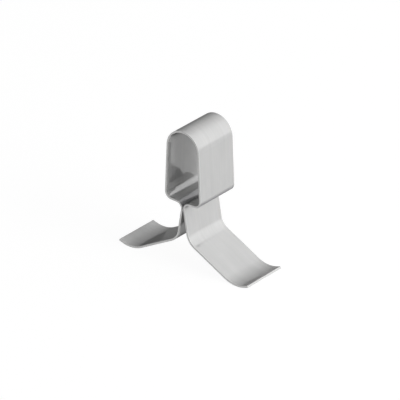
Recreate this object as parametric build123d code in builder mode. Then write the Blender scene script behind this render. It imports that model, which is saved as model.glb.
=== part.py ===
from build123d import *

import os
from math import cos, radians, sin

# Hold-down spring clip, bent from one flat strip of spring steel.
#
# The loop snaps over the bulb along the top edge of a thin rail, the neck pinches the rail's web, and the
# two legs press down on the panels that lie on either side of it. X runs across the rail, Y runs along it
# and Z points up. The clip stands on its two feet at Z = 0, with the middle of its neck over the origin.
# Lengths are in millimetres and angles in degrees, and the radii are the inside radii of the bends.

strip_width = 10.0
strip_thickness = 0.4

# The loop is an arch on two walls that flare towards the bottom.
arch_radius = 3.4
wall_length = 9.6
wall_flare = 2.5

# The shoulders turn in under the bulb, slope down a little, and turn down again at the neck.
shoulder_radius = 1.1
shoulder_slope = 2.0
neck_radius = 1.1
neck_gap = 0.05

# The legs are steep below the neck, and flatter past the knee. Both angles are taken from the vertical.
leg_splay = 9.5
leg_length = 4.7
knee_radius = 3.0
shin_splay = 62.0
shin_length = 8.2

# The feet curl up, so that they slide on the panels and don't dig in.
foot_radius = 5.6
toe_rise = 17.0
toe_length = 0.9

# The line that the strip follows runs through the middle of its thickness.
half_thickness = strip_thickness / 2
arch_line_radius = arch_radius + half_thickness
shoulder_line_radius = shoulder_radius + half_thickness
neck_line_radius = neck_radius + half_thickness
knee_line_radius = knee_radius + half_thickness
foot_line_radius = foot_radius + half_thickness

# The way that each straight stretch of the right half heads, turned from +X towards +Z. A heading of
# -90 is straight down, and one of -180 is straight inwards.
wall_heading = -90 + wall_flare
shoulder_heading = -180 + shoulder_slope
leg_heading = -90 + leg_splay
shin_heading = -90 + shin_splay
toe_heading = toe_rise

# The line is drawn from the top of the arch to the tip of the right foot, and mirrored.
with BuildLine() as bend_line:
    arch = JernArc((0, 0), (1, 0), arch_line_radius, wall_heading)
    wall = PolarLine(arch @ 1, wall_length, wall_heading)
    lower_corner = JernArc(wall @ 1, wall % 1, shoulder_line_radius, shoulder_heading - wall_heading)

    # The shoulder is as long as it takes to bring the bend of the neck in to the gap.
    neck_inset = neck_gap / 2 + half_thickness + neck_line_radius * (1 - sin(radians(shoulder_slope)))
    shoulder_length = ((lower_corner @ 1).X - neck_inset) / cos(radians(shoulder_slope))
    shoulder = PolarLine(lower_corner @ 1, shoulder_length, shoulder_heading)

    neck = JernArc(shoulder @ 1, shoulder % 1, neck_line_radius, leg_heading - shoulder_heading)
    leg = PolarLine(neck @ 1, leg_length, leg_heading)
    knee = JernArc(leg @ 1, leg % 1, knee_line_radius, shin_heading - leg_heading)
    shin = PolarLine(knee @ 1, shin_length, shin_heading)
    foot = JernArc(shin @ 1, shin % 1, foot_line_radius, toe_heading - shin_heading)
    toe = PolarLine(foot @ 1, toe_length, toe_heading)
    mirror(about=Plane.YZ)

# The undersides of the feet touch Z = 0.
arch_top_height = foot_line_radius + half_thickness - foot.arc_center.Y
bend_plane = Plane(origin=(0, 0, arch_top_height), x_dir=(1, 0, 0), z_dir=(0, -1, 0))

with BuildPart() as spring_clip:
    with BuildSketch(bend_plane):
        trace(bend_line.line, line_width=strip_thickness)
    extrude(amount=strip_width / 2, both=True)

spring_clip.part.label = "spring_clip"

os.makedirs("parts", exist_ok=True)
export_step(spring_clip.part, "parts/spring_clip.step")
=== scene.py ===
from collections import namedtuple
from math import ceil, cos, pi, radians, sin

import bmesh
import bpy
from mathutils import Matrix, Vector


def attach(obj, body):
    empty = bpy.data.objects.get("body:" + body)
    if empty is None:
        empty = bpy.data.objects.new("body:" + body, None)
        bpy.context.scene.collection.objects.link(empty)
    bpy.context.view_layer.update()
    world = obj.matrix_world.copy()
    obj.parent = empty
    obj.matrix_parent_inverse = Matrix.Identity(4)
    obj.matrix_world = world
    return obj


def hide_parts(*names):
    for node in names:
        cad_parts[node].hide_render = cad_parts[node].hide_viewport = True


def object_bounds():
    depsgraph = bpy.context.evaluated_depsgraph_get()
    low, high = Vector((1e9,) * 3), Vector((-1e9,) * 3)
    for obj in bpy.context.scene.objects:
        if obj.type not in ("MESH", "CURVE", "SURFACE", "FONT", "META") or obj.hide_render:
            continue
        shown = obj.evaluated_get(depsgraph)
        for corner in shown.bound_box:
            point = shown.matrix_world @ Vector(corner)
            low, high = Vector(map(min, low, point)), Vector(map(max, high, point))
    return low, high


# A flat spring clip, bent from one strip of rolled spring steel, on a white studio floor.
#
# The clip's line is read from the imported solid, and the strip is drawn along it again as an even mesh with
# true bends and softly broken edges. X runs across the rail, Y runs across the strip and Z points up.

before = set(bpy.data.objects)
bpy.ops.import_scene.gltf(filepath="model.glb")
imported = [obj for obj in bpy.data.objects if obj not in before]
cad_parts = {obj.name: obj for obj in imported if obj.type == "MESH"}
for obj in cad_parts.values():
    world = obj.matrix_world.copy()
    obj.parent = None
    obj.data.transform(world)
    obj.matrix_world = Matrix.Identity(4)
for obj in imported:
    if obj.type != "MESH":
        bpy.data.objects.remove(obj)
cad_low, cad_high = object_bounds()
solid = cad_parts["spring_clip"]
mm = 0.001

# How the solid's outline is read. Ends as near as this are the same place, a stretch that turns by less than
# this many radians is flat, and a corner that turns by more than this angle is sharp.
same_place = 0.001 * mm
flat_turn = 1e-4
sharp_turn = radians(45)

# How finely the strip is drawn.
flat_step = 0.5 * mm
bend_step = radians(3)
width_steps = 10
edge_steps = 4
edge_radius = 0.06 * mm

# The dulling of a bend and its painted shade fade out over this length of the strip.
bend_reach = 0.8 * mm

# The two finishes, as places in the mesh's list of materials.
rolled, sheared = 0, 1

# A stretch of the solid's outline: its two ends and the surface's normals there.
Stretch = namedtuple("Stretch", "start end start_normal end_normal")

# One ring of the strip's mesh: the middle of its section, the surface's normal, how far it is drawn in, how
# far along the strip it lies, and how tightly the strip is bent there. The bend is above 0 where it
# stretches the outer face, and below 0 where it stretches the inner one.
Ring = namedtuple("Ring", "centre normal inset along bend")


def front_stretches(node):
    """The stretches of a solid's outline on its front plane."""
    mesh = node.data
    front = min(vertex.co.y for vertex in mesh.vertices)
    stretches = []
    for face in mesh.polygons:
        places = {i: mesh.vertices[mesh.loops[i].vertex_index].co for i in face.loop_indices}
        corners = [i for i in places if places[i].y < front + same_place]

        # Only the faces along the strip that have a whole side on the front plane are of use.
        if abs(face.normal.y) > 0.5 or len(corners) != 2:
            continue
        ends = [places[i].xz for i in corners]
        normals = [mesh.corner_normals[i].vector.xz.normalized() for i in corners]
        if (ends[1] - ends[0]).cross(normals[0]) < 0:
            ends.reverse()
            normals.reverse()
        stretches.append(Stretch(*ends, *normals))
    return stretches


def outline_runs(stretches):
    """The closed outline, cut at its sharp corners into runs of stretches."""
    def key(place):
        return round(place.x / same_place), round(place.y / same_place)

    after = {key(stretch.start): stretch for stretch in stretches}
    loop = [stretches[0]]
    while len(loop) < len(stretches):
        loop.append(after[key(loop[-1].end)])
    turns = [loop[i - 1].end_normal.angle(loop[i].start_normal) for i in range(len(loop))]
    cuts = [i for i, turn in enumerate(turns) if turn > sharp_turn]
    loop = loop[cuts[0]:] + loop[:cuts[0]]
    cuts = [i - cuts[0] for i in cuts] + [len(loop)]
    return [loop[first:last] for first, last in zip(cuts, cuts[1:])]


def is_flat(stretch):
    """Whether the surface has the same normal at both ends of a stretch."""
    return (stretch.start_normal - stretch.end_normal).length < flat_turn


def stations_along(run):
    """Close points along a run, each with the surface's normal there. Round stretches are arcs again."""
    stations = []
    for i, stretch in enumerate(run):
        start, end, first, last = stretch
        if is_flat(stretch):
            count = ceil((end - start).length / flat_step)
            stations += [(start.lerp(end, step / count), first) for step in range(count)]
            continue

        # Where a bend meets a flat stretch, the flat one has the true normal.
        first = run[i - 1].end_normal if is_flat(run[i - 1]) else first
        last = run[i + 1].start_normal if is_flat(run[i + 1]) else last
        turn = last - first
        radius = (end - start).dot(turn) / turn.length_squared
        count = ceil(first.angle(last) / bend_step)
        for step in range(count):
            normal = first.slerp(last, step / count)
            stations.append((start + radius * (normal - first), normal))
    stations.append((run[-1].end, run[-1].end_normal))
    return stations


def running_lengths(places):
    """How far along a line each of its points lies."""
    lengths = [0]
    for near, far in zip(places, places[1:]):
        lengths.append(lengths[-1] + (far - near).length)
    return lengths


def rounded_tip(tip, normal, along, inwards):
    """The rings of the strip's rounded start (inwards 1) or end (inwards -1), from its face inwards."""
    rings = []
    for step in range(edge_steps + 1):
        angle = step / edge_steps * pi / 2
        depth = inwards * edge_radius * (1 - cos(angle))
        centre = tip + depth * Vector((normal.y, -normal.x))
        rings.append(Ring(centre, normal, edge_radius * (1 - sin(angle)), along + depth, 0))
    return rings


def strip_rings(stations, half_thickness):
    """The rings of the strip's mesh, from tip to tip."""
    centres = [place - normal * half_thickness for place, normal in stations]
    normals = [normal for _, normal in stations]
    lengths = running_lengths(centres)
    turns = [near.angle_signed(far) for near, far in zip(normals, normals[1:])]
    middles = [(near + far) / 2 for near, far in zip(lengths, lengths[1:])]

    def bend_near(along):
        """The strip's mean curvature about a place. What lies farther from it counts for less."""
        shares = [max(0, 1 - abs(middle - along) / bend_reach) for middle in middles]
        return sum(turn * share for turn, share in zip(turns, shares)) / bend_reach

    rings = []
    for i in range(1, len(stations) - 1):
        rings.append(Ring(centres[i], normals[i], 0, lengths[i], bend_near(lengths[i])))
    start = rounded_tip(centres[0], normals[0], 0, inwards=1)
    end = rounded_tip(centres[-1], normals[-1], lengths[-1], inwards=-1)
    return start + rings + end[::-1]


def section(half_width, half_thickness, radius):
    """The strip's section: places (across, up) and the finish of the side that starts at each of them."""
    places, finishes = [], []
    for corner, (side, face) in enumerate([(1, 1), (-1, 1), (-1, -1), (1, -1)]):
        flat_follows = side == face
        for step in range(edge_steps + 1):
            angle = (corner + step / edge_steps) * pi / 2
            across = side * (half_width - radius) + radius * cos(angle)
            up = face * (half_thickness - radius) + radius * sin(angle)
            places.append(Vector((across, up)))
            finishes.append(rolled if step < edge_steps or flat_follows else sheared)
        if flat_follows:
            flat = half_width - radius
            for step in range(1, width_steps):
                across = side * flat * (1 - 2 * step / width_steps)
                places.append(Vector((across, face * half_thickness)))
                finishes.append(rolled)
    return places, finishes


def add_corners(work, ring, half_width, half_thickness):
    """A ring's corners. Each knows its place on the flat blank (along, across, up) and the bend there."""
    blank_place = work.verts.layers.float_vector["blank_place"]
    bend = work.verts.layers.float["bend"]
    places, _ = section(half_width - ring.inset, half_thickness - ring.inset, edge_radius - ring.inset)
    corners = []
    for across, up in places:
        place = ring.centre + ring.normal * up
        corner = work.verts.new((place.x, across, place.y))
        corner[blank_place] = (ring.along, across, up)
        corner[bend] = ring.bend
        corners.append(corner)
    return corners


def add_object(name, work):
    """The object of a mesh in the making, with one corner for each place and even normals."""
    bmesh.ops.remove_doubles(work, verts=work.verts, dist=same_place)
    bmesh.ops.recalc_face_normals(work, faces=work.faces)
    mesh = bpy.data.meshes.new(name)
    work.to_mesh(mesh)
    work.free()
    mesh.shade_smooth()
    strip = bpy.data.objects.new(name, mesh)
    bpy.context.scene.collection.objects.link(strip)
    strip.modifiers.new("even_normals", "WEIGHTED_NORMAL")
    return strip


def draw_strip(name, run, half_width, half_thickness):
    """The strip as one closed mesh along a run of the outline.

    The map for the bake is the strip's skin unrolled, in two halves of its length, and the two end faces.
    """
    rings = strip_rings(stations_along(run), half_thickness)
    places, finishes = section(half_width, half_thickness, edge_radius)
    around = running_lengths(places + places[:1])
    girth = around[-1]
    half_length = rings[-1].along / 2
    gutter = 0.4 * mm
    map_side = 2 * girth + 4 * half_thickness + 5 * gutter

    work = bmesh.new()
    work.verts.layers.float_vector.new("blank_place")
    work.verts.layers.float.new("bend")
    bake_map = work.loops.layers.uv.new("OFBake")

    def add_face(corners, map_places, finish):
        face = work.faces.new(corners)
        face.material_index = finish
        for loop, place in zip(face.loops, map_places):
            loop[bake_map].uv = (place + Vector((gutter, gutter))) / map_side

    loops = [add_corners(work, ring, half_width, half_thickness) for ring in rings]
    for near, far, loop, following in zip(rings, rings[1:], loops, loops[1:]):
        half = int(near.along + far.along > 2 * half_length)
        left, right = near.along - half * half_length, far.along - half * half_length
        bottom = half * (girth + gutter)
        for i, finish in enumerate(finishes):
            j = (i + 1) % len(finishes)
            low, high = bottom + around[i], bottom + around[i + 1]
            corners = loop[i], loop[j], following[j], following[i]
            add_face(corners, map(Vector, [(left, low), (left, high), (right, high), (right, low)]), finish)
    for end, loop in enumerate((loops[0], loops[-1])):
        height = 2 * (girth + gutter) + end * (2 * half_thickness + gutter) + half_thickness
        add_face(loop, [place + Vector((half_width, height)) for place in places], sheared)
    return add_object(name, work)


def add_node(tree, kind, links, values=None, **settings):
    """A new node, with what feeds its inputs, its inputs' own values and its settings."""
    node = tree.nodes.new(kind)
    for name, setting in settings.items():
        setattr(node, name, setting)
    for socket, source in links.items():
        tree.links.new(source, node.inputs[socket])
    for socket, value in (values or {}).items():
        node.inputs[socket].default_value = value
    return node


def grains(tree, place, size, detail=2):
    """Noise on the flat blank, from 0 to 1. Its grains are this size (along, across, up)."""
    divided = add_node(tree, "ShaderNodeVectorMath", {0: place}, {1: size}, operation="DIVIDE")
    values = {"Scale": 1, "Detail": detail}
    return add_node(tree, "ShaderNodeTexNoise", {"Vector": divided.outputs[0]}, values).outputs["Fac"]


def ramp(tree, value, start, end, low=0.0, high=1.0):
    """low where value is below start, high where it is above end, and even steps between them."""
    values = {"From Min": start, "From Max": end, "To Min": low, "To Max": high}
    return add_node(tree, "ShaderNodeMapRange", {"Value": value}, values).outputs[0]


def spread(tree, noise, low, high):
    """Noise as a value from low to high. Most noise lies between 0.3 and 0.7."""
    return ramp(tree, noise, 0.3, 0.7, low, high)


def arithmetic(tree, operation, first, second):
    """The sum, product or the like of two sockets."""
    return add_node(tree, "ShaderNodeMath", {0: first, 1: second}, operation=operation).outputs[0]


def scaled(tree, value, factor):
    """A socket's value times a number."""
    return add_node(tree, "ShaderNodeMath", {0: value}, {1: factor}, operation="MULTIPLY").outputs[0]


def total(tree, *sockets):
    """The sum of several sockets."""
    result = sockets[0]
    for socket in sockets[1:]:
        result = arithmetic(tree, "ADD", result, socket)
    return result


def grey_steel(name, metallic):
    """A steel without its patterns, its node tree, and sockets for a point's place, across and up."""
    material = bpy.data.materials.new(name)
    material.use_nodes = True
    tree = material.node_tree
    shader = tree.nodes["Principled BSDF"]
    shader.inputs["Metallic"].default_value = metallic
    shader.inputs["Specular IOR Level"].default_value = 0
    shader.inputs["Specular Tint"].default_value = (0.3, 0.3, 0.3, 1)
    place = add_node(tree, "ShaderNodeAttribute", {}, attribute_name="blank_place").outputs["Vector"]
    axes = add_node(tree, "ShaderNodeSeparateXYZ", {"Vector": place})
    return material, tree, place, axes.outputs["Y"], axes.outputs["Z"]


def finish_steel(tree, tone, dark, light, roughness, height):
    """Gives a steel its colour between dark and light, its roughness and its relief."""
    shader = tree.nodes["Principled BSDF"]

    # A mix of colours has them on its inputs 6 and 7, and the result on its output 2.
    colours = {6: (*dark, 1), 7: (*light, 1)}
    colour = add_node(tree, "ShaderNodeMix", {"Factor": tone}, colours, data_type="RGBA")
    tree.links.new(colour.outputs[2], shader.inputs["Base Color"])
    tree.links.new(roughness, shader.inputs["Roughness"])
    relief = add_node(tree, "ShaderNodeBump", {"Height": height}, {"Strength": 1.0, "Distance": 1.0})
    tree.links.new(relief.outputs[0], shader.inputs["Normal"])


def rolled_steel(half_width):
    """The strip's faces: rolling lines, streaks and clouds, rubbed margins, and dull stretched bends darkened
    with painted shade.
    """
    material, tree, place, across, up = grey_steel("rolled_spring_steel", metallic=0.3)
    lines = grains(tree, place, (8 * mm, 0.1 * mm, 0.1 * mm))
    streaks = grains(tree, place, (60 * mm, 0.9 * mm, 0.1 * mm))
    clouds = grains(tree, place, (5 * mm, 2.5 * mm, 0.1 * mm), detail=4)
    hairlines = ramp(tree, grains(tree, place, (20 * mm, 0.05 * mm, 0.1 * mm), detail=0), 0.72, 0.8)

    # The strain dulls the steel and darkens it with painted shade, from 0.08 on and in full at 0.18, a little
    # earlier or later from place to place.
    bend = add_node(tree, "ShaderNodeAttribute", {}, attribute_name="bend").outputs["Fac"]
    strain = arithmetic(tree, "MULTIPLY", up, bend)
    uneven = ramp(tree, total(tree, lines, clouds), 0.7, 1.3, -0.03, 0.03)
    bend_dulling_and_shade = ramp(tree, total(tree, strain, uneven), 0.08, 0.18)

    off_middle = add_node(tree, "ShaderNodeMath", {0: across}, operation="ABSOLUTE").outputs[0]
    ragged = ramp(tree, clouds, 0.0, 1.0, -0.15 * mm, 0.15 * mm)
    rubbed = ramp(tree, total(tree, off_middle, ragged), half_width - 0.3 * mm, half_width - 0.05 * mm)

    tone = total(
        tree,
        spread(tree, lines, 0.5, 0.6),
        spread(tree, streaks, 0.0, 0.08),
        spread(tree, clouds, 0.0, 0.1),
        scaled(tree, hairlines, 0.1),
        scaled(tree, rubbed, 0.2),
        # Painted shade: the stretched bends are darkened.
        scaled(tree, bend_dulling_and_shade, -0.7),
    )
    roughness = total(
        tree,
        spread(tree, lines, 0.06, 0.09),
        spread(tree, clouds, -0.01, 0.01),
        scaled(tree, bend_dulling_and_shade, 0.16),
    )
    height = total(
        tree,
        scaled(tree, lines, 0.001 * mm),
        scaled(tree, hairlines, -0.0004 * mm),
    )
    dark, light = (0.38, 0.38, 0.39), (0.73, 0.73, 0.72)
    finish_steel(tree, tone, dark, light, roughness, height)
    return material


def sheared_steel(half_thickness):
    """The cut edges: a bright burnished band by the outer face, and a torn, striped one by the inner face."""
    material, tree, place, _, up = grey_steel("sheared_edge", metallic=0.5)
    stripes = grains(tree, place, (0.07 * mm, 0.07 * mm, 0.5 * mm))
    waver = scaled(tree, grains(tree, place, (0.8 * mm, 0.8 * mm, 9 * mm)), 0.6 * half_thickness)
    burnished = ramp(tree, total(tree, up, waver), 0.2 * half_thickness, 0.4 * half_thickness)
    torn = ramp(tree, burnished, 0.0, 1.0, 1.0, 0.0)

    tone = total(
        tree,
        spread(tree, stripes, 0.1, 0.6),
        scaled(tree, burnished, 0.4),
    )
    roughness = ramp(tree, burnished, 0.0, 1.0, 0.35, 0.18)
    height = scaled(tree, arithmetic(tree, "MULTIPLY", stripes, torn), 0.002 * mm)
    dark, light = (0.62, 0.62, 0.62), (0.82, 0.82, 0.81)
    finish_steel(tree, tone, dark, light, roughness, height)
    return material


def direction(azimuth, elevation):
    """The direction from the clip to what stands at this azimuth and elevation, in degrees."""
    a, e = radians(azimuth), radians(elevation)
    return Vector((sin(a) * cos(e), -cos(a) * cos(e), sin(e)))


def add_looking_back(name, data, place, away):
    """A camera or a lamp at a place. It looks back along the direction away."""
    item = bpy.data.objects.new(name, data)
    item.location = place
    item.rotation_mode = "QUATERNION"
    item.rotation_quaternion = (-away).to_track_quat("-Z", "Y")
    bpy.context.scene.collection.objects.link(item)
    return item


def make_camera():
    """The photograph's camera. It looks at the clip's middle, a little off the picture's own centre."""
    azimuth, elevation = 38.58, 26.93
    distance = 932 * mm
    picture_side, pixels_per_mm = 400, 5.418
    view_width = picture_side / pixels_per_mm * mm
    middle = Vector((0, 0, 13.61 * mm))
    shift_right, shift_up = 0.07 * mm, -1.587 * mm

    away = direction(azimuth, elevation)
    right = direction(azimuth + 90, 0)
    up = away.cross(right)
    data = bpy.data.cameras.new("camera")
    data.sensor_width = 36
    data.lens = data.sensor_width * distance / view_width
    data.clip_start = 10 * mm
    place = middle + right * shift_right + up * shift_up + away * distance
    bpy.context.scene.camera = add_looking_back("camera", data, place, away)


def seen_directly(tree):
    """1 for a ray from the camera, off gloss or through glass, else 0."""
    path = tree.nodes.new("ShaderNodeLightPath")
    seen = path.outputs["Is Camera Ray"]
    for other in ("Is Glossy Ray", "Is Transmission Ray"):
        seen = arithmetic(tree, "MAXIMUM", seen, path.outputs[other])
    return seen


def make_floor():
    """A wide matte floor. A glow makes it look white, and the clip's shadow on it looks faint."""
    reach = 3.0
    grey = 0.4
    glow_strength, glow_share = 1.35, 0.7

    mesh = bpy.data.meshes.new("floor")
    corners = [(-reach, -reach, 0), (reach, -reach, 0), (reach, reach, 0), (-reach, reach, 0)]
    mesh.from_pydata(corners, [], [(0, 1, 2, 3)])
    floor = bpy.data.objects.new("floor", mesh)
    bpy.context.scene.collection.objects.link(floor)

    material = bpy.data.materials.new("studio_floor")
    material.use_nodes = True
    tree = material.node_tree
    tree.nodes.clear()
    matte = add_node(tree, "ShaderNodeBsdfDiffuse", {}, {"Color": (grey, grey, grey, 1)})
    glow = add_node(tree, "ShaderNodeEmission", {}, {"Strength": glow_strength})
    share = scaled(tree, seen_directly(tree), glow_share)
    both = add_node(tree, "ShaderNodeMixShader", {0: share, 1: matte.outputs[0], 2: glow.outputs[0]})
    add_node(tree, "ShaderNodeOutputMaterial", {"Surface": both.outputs[0]})
    mesh.materials.append(material)


def make_world():
    """A room that looks white and casts a dim light."""
    cast, seen = 0.1, 1.0
    world = bpy.data.worlds.new("studio")
    bpy.context.scene.world = world
    world.use_nodes = True
    tree = world.node_tree
    background = tree.nodes["Background"]
    background.inputs["Color"].default_value = (1, 1, 1, 1)
    strength = ramp(tree, seen_directly(tree), 0.0, 1.0, cast, seen)
    tree.links.new(strength, background.inputs["Strength"])


def make_lamp(name, azimuth, elevation, size, level):
    """A soft round lamp.

    At level 1, a small lamp shows a surface that faces it in its colour as written. A wide one gives less.
    """
    distance = 0.8
    data = bpy.data.lights.new(name, "AREA")
    data.shape = "DISK"
    data.size = size

    # The lamp fades smoothly from its middle to its rim, which leaves 0.3 of its light.
    data.energy = level * (pi * distance) ** 2 / 0.3
    data.use_nodes = True
    tree = data.node_tree
    disc = tree.nodes.new("ShaderNodeNewGeometry")
    from_middle = add_node(
        tree,
        "ShaderNodeVectorMath",
        {0: disc.outputs["Parametric"]},
        {1: (0.5, 0.5, 0)},
        operation="DISTANCE",
    )
    fade = add_node(
        tree,
        "ShaderNodeMapRange",
        {"Value": from_middle.outputs["Value"]},
        {"From Min": 0.5, "From Max": 0.0},
        interpolation_type="SMOOTHSTEP",
    )
    tree.links.new(fade.outputs[0], tree.nodes["Emission"].inputs["Strength"])
    away = direction(azimuth, elevation)
    clip_middle = Vector((0, 0, 12 * mm))
    return add_looking_back(name, data, away * distance + clip_middle, away)


# The outer face holds the highest place of the outline, and the strip's two ends are its shortest runs.
runs = outline_runs(front_stretches(solid))
outer_run = max(runs, key=lambda run: max(stretch.start.y for stretch in run))
tip_run = min(runs, key=len)
half_thickness = (tip_run[-1].end - tip_run[0].start).length / 2
half_width = (cad_high.y - cad_low.y) / 2

clip = draw_strip("spring_clip_strip", outer_run, half_width, half_thickness)
clip.data.materials.append(rolled_steel(half_width))
clip.data.materials.append(sheared_steel(half_thickness))
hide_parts("spring_clip")
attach(clip, "root")

make_camera()
make_floor()
make_world()
key = make_lamp("key", azimuth=90, elevation=18, size=1.0, level=0.79)
make_lamp("back", azimuth=130, elevation=20, size=2.4, level=0.47)
make_lamp("top", azimuth=180, elevation=60, size=1.6, level=0.12)

# The steel shows the white room where it would mirror the key, so that none of its flat faces clip to white.
key.visible_glossy = False

bpy.context.scene.view_settings.view_transform = "Standard"
